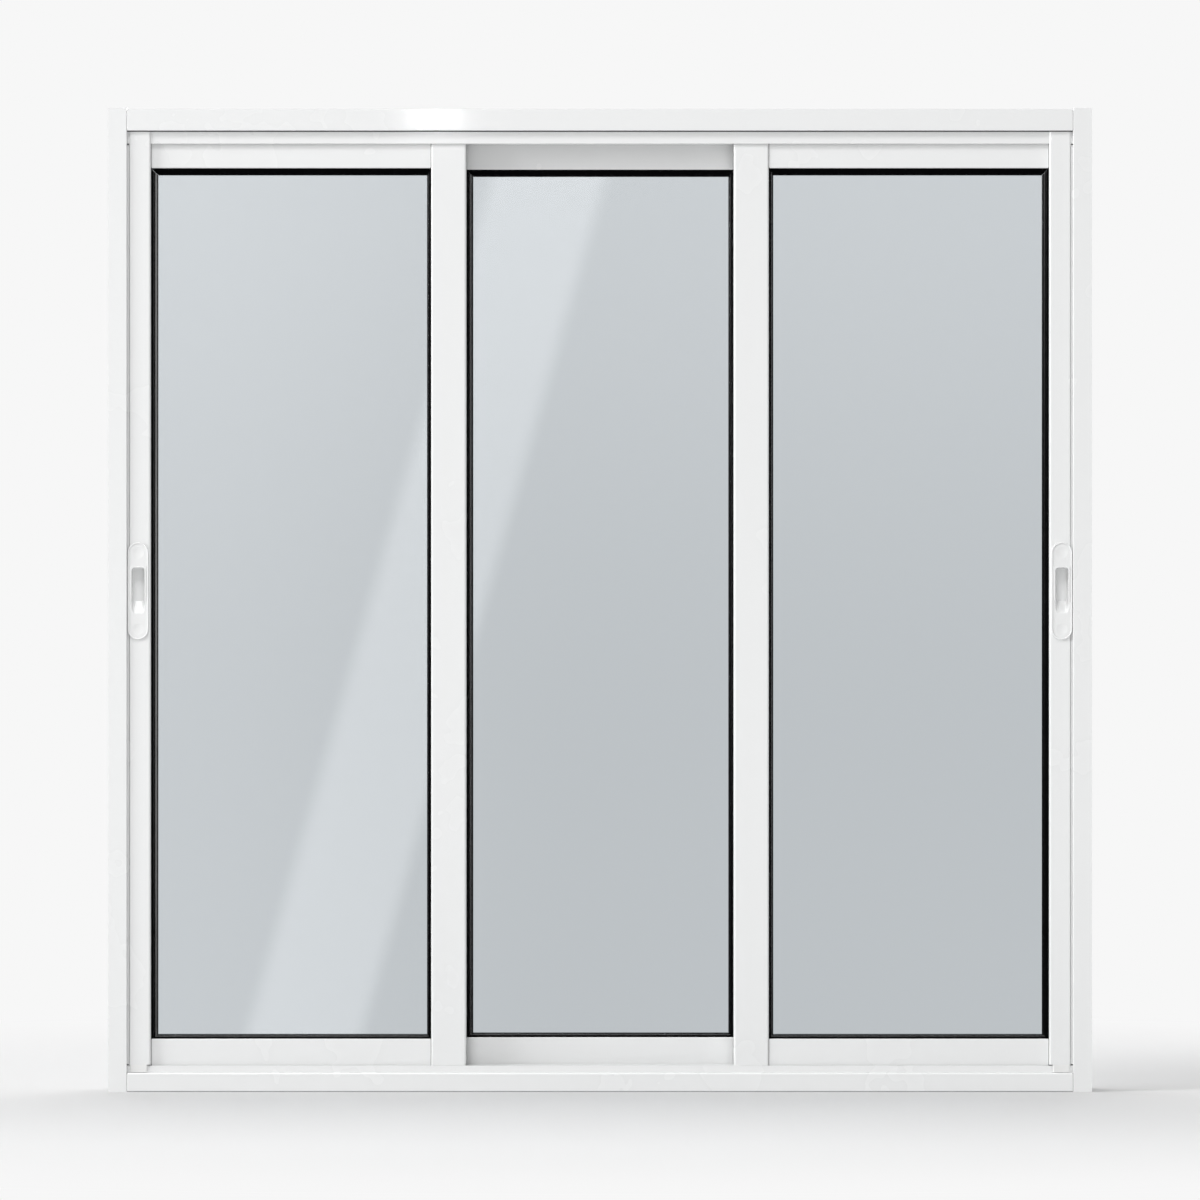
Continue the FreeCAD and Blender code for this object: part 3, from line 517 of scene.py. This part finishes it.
rail_joints = bmesh.new()
for side in ("left", "right"):
    outer_low, outer_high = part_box(f"{side}_sash_outer_stile")
    inner_low, inner_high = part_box(f"{side}_sash_inner_stile")
    edges = (outer_high.x, inner_low.x) if side == "left" else (inner_high.x, outer_low.x)
    for rail in ("top_rail", "bottom_rail"):
        rail_low, rail_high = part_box(f"{side}_sash_{rail}")
        for edge, way in zip(edges, (1, -1)):
            def rail_end(point, end):
                across, depth = point
                z = (rail_low.z, rail_high.z)[end]
                return edge + across * MM * way, rail_low.y + depth * MM, z
            straight_run(rail_joints, RAIL_BEAD, rail_end)
# Dark beads, partly real sealer and partly painted shade in the crevices between rails and stiles.
new_piece("rail_joint_shade_sealer", rail_joints, shade_line_sealer)

# %% Beads at the frame's corners
HEAD_FACE = 26.3
SILL_FACE = 22.0
# across the joint, and depth behind the frame's face
CORNER_BEAD = ((-0.55, 0.3), (0.0, 0.42), (0.55, 0.3), (0.0, 1.1))

head_low, head_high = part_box("head")
sill_low, sill_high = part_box("sill")
face_bottom = head_high.z - HEAD_FACE * MM
head_span = (face_bottom, head_high.z)
sill_span = (sill_low.z, sill_low.z + SILL_FACE * MM)
corner_joints = bmesh.new()
for x, face_span in (
    (head_low.x, head_span), (head_high.x, head_span),
    (sill_low.x, sill_span), (sill_high.x, sill_span),
):
    def frame_corner(point, end):
        across, depth = point
        return x + across * MM, low.y + depth * MM, face_span[end]
    straight_run(corner_joints, CORNER_BEAD, frame_corner)
# Dark beads, partly real sealer and partly painted shade in the crevices at the frame's corners.
new_piece("frame_joint_shade_sealer", corner_joints, shade_line_sealer)

# %% Fin under the head and foam under the sill
HEAD_RIB_SETBACK = 5.5
# depth and rise from the corner between the head's face and its rib
FIN_SECTION = ((0.1, 0.0), (-0.6, 0.0), (-0.42, -1.15), (0.0, -0.92))
# depth and rise from the frame's lower front edge
BASE_SECTION = ((0.55, 0.02), (0.4, 0.6), (0.55, 1.22), (3.0, 1.22), (3.0, 0.02))


def long_strip(name, section, ends_x, corner_y, corner_z, material):
    """A strip along the frame, whose section lies round a corner that runs from end to end."""
    strip = bmesh.new()

    def along(point, end):
        depth, rise = point
        return ends_x[end], corner_y + depth * MM, corner_z + rise * MM

    straight_run(strip, section, along)
    return new_piece(name, strip, material)


rib_front = low.y + HEAD_RIB_SETBACK * MM
# The dark fin is partly painted shade: it stands in for the shadow line under the head's face.
long_strip(
    "head_shade_fin", FIN_SECTION, (head_low.x, head_high.x), rib_front, face_bottom, shade_line_sealer,
)
# The grey foam is partly painted shade: it fills the slot where the contact shadow under the sill
# falls.
long_strip("sill_shadow_foam", BASE_SECTION, (sill_low.x, sill_high.x), low.y, low.z, contact_shade_foam)

# %% [markdown]
# ## Corner screws
# Eight screws hold the frame's corners together. Each passes through a jamb's web from the wall's
# side and cuts its own thread in a round port of the head or the sill. A screw is a turned part, so
# half its outline is revolved round its axis, in rings of points. The cross recess is drawn as a
# twelve-cornered cross inside the last ring, the surface between the two is filled, and the cross
# is pushed inwards with a slight taper, so that its walls lean as a driver's tip does.

# %% Screw sizes in millimetres
SCREW_SIDES = 20
THREAD_TURNS = 11
THREAD_PITCH = 1.6
THREAD_ROOT = 1.4
THREAD_CREST = 1.75
THREAD_START = -22.0
# radius and height above the web, at the tip, and from the shank's end to the rim of the recess
SCREW_TIP = (0.5, -24.0)
SCREW_HEAD = (
    (1.7, -4.5), (1.7, 0.02), (4.2, 0.02), (4.2, 0.5), (3.95, 1.3), (3.4, 1.95), (2.75, 2.3),
)
CROSS_ARM = 2.0
CROSS_HALF = 0.5
CROSS_FLOOR = 0.9
CROSS_TAPER = 0.6

screw_outline = [SCREW_TIP]
for turn in range(THREAD_TURNS):
    start = THREAD_START + THREAD_PITCH * turn
    screw_outline += [(THREAD_ROOT, start), (THREAD_CREST, start + 0.5), (THREAD_ROOT, start + 1.0)]
screw_outline += SCREW_HEAD

# the three corners of one arm, then the same turned by a quarter three times
cross_corners = [(CROSS_ARM, -CROSS_HALF), (CROSS_ARM, CROSS_HALF), (CROSS_HALF, CROSS_HALF)]
for quarter in range(3):
    cross_corners += [(-y, x) for x, y in cross_corners[-3:]]
print("points of the screw's outline:", len(screw_outline), "of the cross:", len(cross_corners))


# %% Draw one screw
def loop_edges(ring):
    """The pairs of neighbours in a closed ring of points."""
    return zip(ring, ring[1:] + ring[:1])


def screw(drawing, place):
    """Draws one screw. place turns (across, up, out) in millimetres into a point."""
    angles = [2 * math.pi * side / SCREW_SIDES for side in range(SCREW_SIDES)]
    rings = [
        [
            drawing.verts.new(place(radius * math.cos(angle), radius * math.sin(angle), out))
            for angle in angles
        ]
        for radius, out in screw_outline
    ]
    drawing.faces.new(rings[0])
    for ring, following in zip(rings, rings[1:]):
        join_rings(drawing, ring, following, smooth=True)
    rim_height = screw_outline[-1][1]
    upper = [drawing.verts.new(place(x, y, rim_height)) for x, y in cross_corners]
    lower = [
        drawing.verts.new(place(x * CROSS_TAPER, y * CROSS_TAPER, CROSS_FLOOR))
        for x, y in cross_corners
    ]
    rim_edges = [drawing.edges.get(pair) for pair in loop_edges(rings[-1])]
    cross_edges = [drawing.edges.new(pair) for pair in loop_edges(upper)]
    bmesh.ops.triangle_fill(drawing, edges=rim_edges + cross_edges, use_beauty=True)
    join_rings(drawing, upper, lower)
    drawing.faces.new(lower)


# %% Place the eight screws
WEB_OUTSIDE = 578.5
SCREW_Y = 18.0
SCREW_HEIGHTS = (19.0, 1176.7)
SCREW_CREASE = math.radians(35)

screws = bmesh.new()
for way in (-1, 1):
    for y in (-SCREW_Y, SCREW_Y):
        for z in SCREW_HEIGHTS:
            def on_the_web(across, up, out):
                return way * (WEB_OUTSIDE + out) * MM, (y + across) * MM, low.z + (z + up) * MM
            screw(screws, on_the_web)
corner_screws = new_piece("corner_screws", screws, zinc_steel)
corner_screws.data.set_sharp_from_angle(angle=SCREW_CREASE)

# %% [markdown]
# ## Floor
# The window stands on a plain pale studio floor. Near the window the floor is an ordinary matt
# surface, so that it takes the window's soft shadow. Further away it fades into the same even white
# as the background. Light Path tells which rays only look at the floor: only those see the even
# white, and the light that the floor throws back onto the window stays that of matt paper.

# %% Floor material
BACKGROUND_WHITE = 0.93
FLOOR_PAPER = (0.92, 0.92, 0.92, 1)
# the matt part is an oval, wider along the window than in front of it; its edge in metres
OVAL_SQUASH = (0.62, 1.0, 1.0)
SHADOW_REACH = 0.55
SHADOW_FADE_END = 1.25


def looks_only(tree):
    """1 for rays that look from the camera, straight or through glass, and 0 for the others."""
    path = add_node(tree, "ShaderNodeLightPath")
    either = add_node(
        tree, "ShaderNodeMath",
        {0: path.outputs["Is Camera Ray"], 1: path.outputs["Is Transmission Ray"]},
        operation="MAXIMUM",
    )
    return either.outputs["Value"]


floor_material = bpy.data.materials.new("studio_paper")
floor_material.use_nodes = True
floor_tree = floor_material.node_tree
floor_tree.nodes.clear()
floor_place = add_node(floor_tree, "ShaderNodeTexCoord")
floor_squash = add_node(
    floor_tree, "ShaderNodeMapping",
    {"Vector": floor_place.outputs["Object"], "Scale": OVAL_SQUASH},
)
floor_away = add_node(
    floor_tree, "ShaderNodeVectorMath", {"Vector": floor_squash.outputs["Vector"]},
    operation="LENGTH",
)
floor_fade = add_node(
    floor_tree, "ShaderNodeMapRange",
    {"Value": floor_away.outputs["Value"], "From Min": SHADOW_REACH, "From Max": SHADOW_FADE_END},
    interpolation_type="SMOOTHSTEP",
)
floor_even = add_node(floor_tree, "ShaderNodeMath", operation="MULTIPLY")
floor_tree.links.new(floor_fade.outputs["Result"], floor_even.inputs[0])
floor_tree.links.new(looks_only(floor_tree), floor_even.inputs[1])
floor_paper = add_node(floor_tree, "ShaderNodeBsdfDiffuse", {"Color": FLOOR_PAPER})
floor_white = add_node(
    floor_tree, "ShaderNodeEmission", {"Color": (BACKGROUND_WHITE,) * 3 + (1,), "Strength": 1.0},
)
floor_mix = add_node(floor_tree, "ShaderNodeMixShader", {"Fac": floor_even.outputs["Value"]})
floor_tree.links.new(floor_paper.outputs["BSDF"], floor_mix.inputs[1])
floor_tree.links.new(floor_white.outputs["Emission"], floor_mix.inputs[2])
floor_output = add_node(floor_tree, "ShaderNodeOutputMaterial")
floor_tree.links.new(floor_mix.outputs["Shader"], floor_output.inputs["Surface"])
print("floor material:", floor_material.name)

# %% Floor
FLOOR_HALF = 14.0
SQUARE = ((-1, -1), (1, -1), (1, 1), (-1, 1))

floor_mesh = bpy.data.meshes.new("floor")
floor_corners = [(x * FLOOR_HALF, y * FLOOR_HALF, low.z) for x, y in SQUARE]
floor_mesh.from_pydata(floor_corners, [], [(0, 1, 2, 3)])
floor = bpy.data.objects.new("floor", floor_mesh)
floor_mesh.materials.append(floor_material)
bpy.context.collection.objects.link(floor)
floor.visible_glossy = False
floor.visible_transmission = False
print("floor side in metres:", 2 * FLOOR_HALF)

# %% [markdown]
# ## Surroundings
# The world is a white room. What looks at it, straight or through a pane, sees the background's
# even white. What is lit by it gets a weaker, even light, which leaves room for the lamps to model
# the edges, and a reflection of it is dimmer still, so that black rubber stays black.

# %% World
ROOM_LIGHT = 0.43
ROOM_REFLECTED = 0.05

world = bpy.data.worlds.new("white_room")
bpy.context.scene.world = world
world.use_nodes = True
world_tree = world.node_tree
world_tree.nodes.clear()


def room_glow(brightness, strength):
    """A plain background of the given brightness and strength."""
    colour = (brightness,) * 3 + (1,)
    return add_node(world_tree, "ShaderNodeBackground", {"Color": colour, "Strength": strength})


room_light = room_glow(1, ROOM_LIGHT)
room_white = room_glow(BACKGROUND_WHITE, 1.0)
room_dim = room_glow(1, ROOM_REFLECTED)
room_path = add_node(world_tree, "ShaderNodeLightPath")
room_lit = add_node(world_tree, "ShaderNodeMixShader", {"Fac": room_path.outputs["Is Glossy Ray"]})
world_tree.links.new(room_light.outputs["Background"], room_lit.inputs[1])
world_tree.links.new(room_dim.outputs["Background"], room_lit.inputs[2])
room_mix = add_node(world_tree, "ShaderNodeMixShader", {"Fac": looks_only(world_tree)})
world_tree.links.new(room_lit.outputs["Shader"], room_mix.inputs[1])
world_tree.links.new(room_white.outputs["Background"], room_mix.inputs[2])
world_output = add_node(world_tree, "ShaderNodeOutputWorld")
world_tree.links.new(room_mix.outputs["Shader"], world_output.inputs["Surface"])
bpy.context.scene.view_settings.view_transform = "Standard"
print("room light:", ROOM_LIGHT)

# %% [markdown]
# ## Lamps
# Flat profiles show their shape only at their edges, so the strongest lamps graze them. One far out
# on the left brightens every edge that faces left, and leaves those that face right grey. A key
# lamp, high up and a little in front, brightens the upper edges and the scoops of the pulls, and
# draws the shade under the head. A wide, low lamp in front evens out the rest, and one far behind
# keeps the back of the window as bright as the front. The last three are linked to everything but
# the floor, whose soft shadow is drawn by a lamp above and behind the window. Of the small ones,
# one leaves its highlight on the head, and two, at the right and above, are linked to the gaskets
# alone, where they draw the grey line along the slopes.

# %% Lamp helper
def soft_lamp(name, place, aim, size, watts):
    """An area lamp of a width and a height, at a place, turned towards a point."""
    data = bpy.data.lights.new(name, "AREA")
    data.shape = "RECTANGLE"
    data.size, data.size_y = size
    data.energy = watts
    lamp = bpy.data.objects.new(name, data)
    lamp.location = place
    lamp.rotation_euler = (Vector(aim) - Vector(place)).to_track_quat("-Z", "Y").to_euler()
    lamp.visible_camera = False
    bpy.context.collection.objects.link(lamp)
    print("lamp:", name, watts, "W")
    return lamp


window_middle = (0, 0, low.z + height / 2)

# %% Lamps for the whole window
soft_lamp("left_lamp", place=(-9.0, -2.7, 3.2), aim=window_middle, size=(3.0, 3.0), watts=550)
key_lamp = soft_lamp(
    "key_lamp", place=(-1.6, -4.0, 7.6), aim=window_middle, size=(2.0, 2.0), watts=275,
)
fill_lamp = soft_lamp(
    "fill_lamp", place=(0.4, -3.0, 0.3), aim=(0, 0, 0.3), size=(3.0, 0.4), watts=16,
)
fill_lamp.visible_glossy = False
fill_lamp.visible_transmission = False
soft_lamp("top_lamp", place=(0.0, 1.0, 5.5), aim=window_middle, size=(2.6, 2.6), watts=110)
back_lamp = soft_lamp(
    "back_lamp", place=(1.5, 8.0, 3.0), aim=window_middle, size=(3.0, 3.0), watts=420,
)
back_lamp.visible_transmission = False

# %% Lamps for highlights
soft_lamp(
    "head_highlight", place=(-0.43, -8.0, 1.86), aim=(-0.2, 0, 1.2), size=(0.14, 0.04), watts=1.0,
)
gasket_lamps = [
    soft_lamp(
        "right_gasket_lamp", place=(6.0, -0.6, 1.2), aim=window_middle, size=(2.0, 3.0), watts=500,
    ),
    soft_lamp(
        "upper_gasket_lamp", place=(0.0, -0.6, 6.6), aim=window_middle, size=(3.0, 2.0), watts=600,
    ),
]

# %% What each lamp may light
window_only = bpy.data.collections.new("all_but_the_floor")
window_only.objects.link(floor)
window_only.collection_objects[0].light_linking.link_state = "EXCLUDE"
gaskets_only = bpy.data.collections.new("gaskets_only")
for ring in gasket_rings:
    gaskets_only.objects.link(ring)
for receivers, lamps in (
    (window_only, [key_lamp, fill_lamp, back_lamp]),
    (gaskets_only, gasket_lamps),
):
    for lamp in lamps:
        lamp.light_linking.receiver_collection = receivers
    print(receivers.name, "is lit by", [lamp.name for lamp in lamps])

# %% [markdown]
# ## Reflected room
# A pane shows the room behind the photographer as a faint reflection. Here that is a glowing sheet
# far behind the camera. It is linked to the panes alone, so nothing else is lit by it, and both
# faces of a pane reflect it: a ray from the rear face counts as a transmission ray. It is brighter
# towards its upper left, and a slanted bright band crosses it, like a tall slanting window blind.
# At its distance the picture of the sheet in the glass is smaller than the sheet, so its sizes are
# those in the picture, in metres on the window, times the ratio of the two distances.

# %% Sheet sizes and brightness
SHEET_BEHIND_CAMERA = 1.0
SHEET_MARGIN = 0.7
BAND_TOP_CENTRE = (-0.067, 1.113)
BAND_SLANT = 0.285
BAND_HALF_WIDTH = 0.067
BAND_LEFT_EDGE = (-0.015, 0.015)
BAND_RIGHT_EDGE = (-0.01, 0.02)
BAND_LIGHT = 1.6
# the heights between which the room gets brighter, and its glow there
TOP_SPAN, TOP_LIGHT = (0.4, 1.3), (0.4, 1.85)
# the same towards the left
LEFT_SPAN, LEFT_LIGHT = (0.0, -0.62), (0.0, 1.05)

sheet_distance = CAMERA_DISTANCE + SHEET_BEHIND_CAMERA
reach = (CAMERA_DISTANCE + sheet_distance) / CAMERA_DISTANCE
sheet_half = SHEET_MARGIN * view_width * reach
print("the sheet is", round(reach, 2), "times as large as its picture")


# %% Helpers for the sheet's glow
def scaled(tree, value, factor, offset):
    """value * factor + offset as a node output."""
    node = add_node(
        tree, "ShaderNodeMath", {0: value, 1: factor, 2: offset}, operation="MULTIPLY_ADD",
    )
    return node.outputs["Value"]


def ramp(tree, value, span, results):
    """Goes smoothly from the first result to the second, while value crosses the span."""
    node = add_node(
        tree, "ShaderNodeMapRange",
        {"Value": value, "From Min": span[0], "From Max": span[1],
         "To Min": results[0], "To Max": results[1]},
        interpolation_type="SMOOTHSTEP",
    )
    return node.outputs["Result"]


def combined(tree, first, second, operation):
    """Two values joined by an operation."""
    node = add_node(tree, "ShaderNodeMath", {0: first, 1: second}, operation=operation)
    return node.outputs["Value"]


# %% Sheet material
sheet_material = bpy.data.materials.new("reflected_room")
sheet_material.use_nodes = True
sheet_tree = sheet_material.node_tree
sheet_tree.nodes.clear()
sheet_place = add_node(sheet_tree, "ShaderNodeTexCoord")
sheet_axes = add_node(
    sheet_tree, "ShaderNodeSeparateXYZ", {"Vector": sheet_place.outputs["Object"]},
)
picture_x = scaled(sheet_tree, sheet_axes.outputs["X"], 1 / reach, 0.0)
picture_z = scaled(sheet_tree, sheet_axes.outputs["Z"], 1 / reach, window_middle[2])
band_shift = BAND_TOP_CENTRE[0] - BAND_SLANT * BAND_TOP_CENTRE[1]
band_line = scaled(sheet_tree, picture_z, BAND_SLANT, band_shift)
band_offset = combined(sheet_tree, picture_x, band_line, "SUBTRACT")
left_edge = [edge - BAND_HALF_WIDTH for edge in BAND_LEFT_EDGE]
right_edge = [edge + BAND_HALF_WIDTH for edge in BAND_RIGHT_EDGE]
band_left = ramp(sheet_tree, band_offset, left_edge, (0.0, 1.0))
band_right = ramp(sheet_tree, band_offset, right_edge, (1.0, 0.0))
band = combined(sheet_tree, band_left, band_right, "MULTIPLY")
band_light = scaled(sheet_tree, band, BAND_LIGHT, 0.0)
top_light = ramp(sheet_tree, picture_z, TOP_SPAN, TOP_LIGHT)
left_light = ramp(sheet_tree, picture_x, LEFT_SPAN, LEFT_LIGHT)
band_and_top = combined(sheet_tree, band_light, top_light, "ADD")
all_light = combined(sheet_tree, band_and_top, left_light, "ADD")
sheet_glow = add_node(sheet_tree, "ShaderNodeEmission", {"Strength": all_light})
sheet_output = add_node(sheet_tree, "ShaderNodeOutputMaterial")
sheet_tree.links.new(sheet_glow.outputs["Emission"], sheet_output.inputs["Surface"])
print("sheet material:", sheet_material.name)

# %% Reflection sheet
sheet_mesh = bpy.data.meshes.new("reflection_sheet")
sheet_corners = [(x * sheet_half, 0, z * sheet_half) for x, z in SQUARE]
sheet_mesh.from_pydata(sheet_corners, [], [(0, 1, 2, 3)])
sheet_mesh.materials.append(sheet_material)
sheet = bpy.data.objects.new("reflection_sheet", sheet_mesh)
sheet.location = (0, low.y - sheet_distance, window_middle[2])
sheet.visible_camera = False
sheet.visible_diffuse = False
sheet.visible_shadow = False
bpy.context.collection.objects.link(sheet)
panes_only = bpy.data.collections.new("panes_only")
for name, node in NODES.items():
    if name.endswith("glass"):
        panes_only.objects.link(node)
sheet.light_linking.receiver_collection = panes_only
print("reflection sheet side in metres:", round(2 * sheet_half, 2))
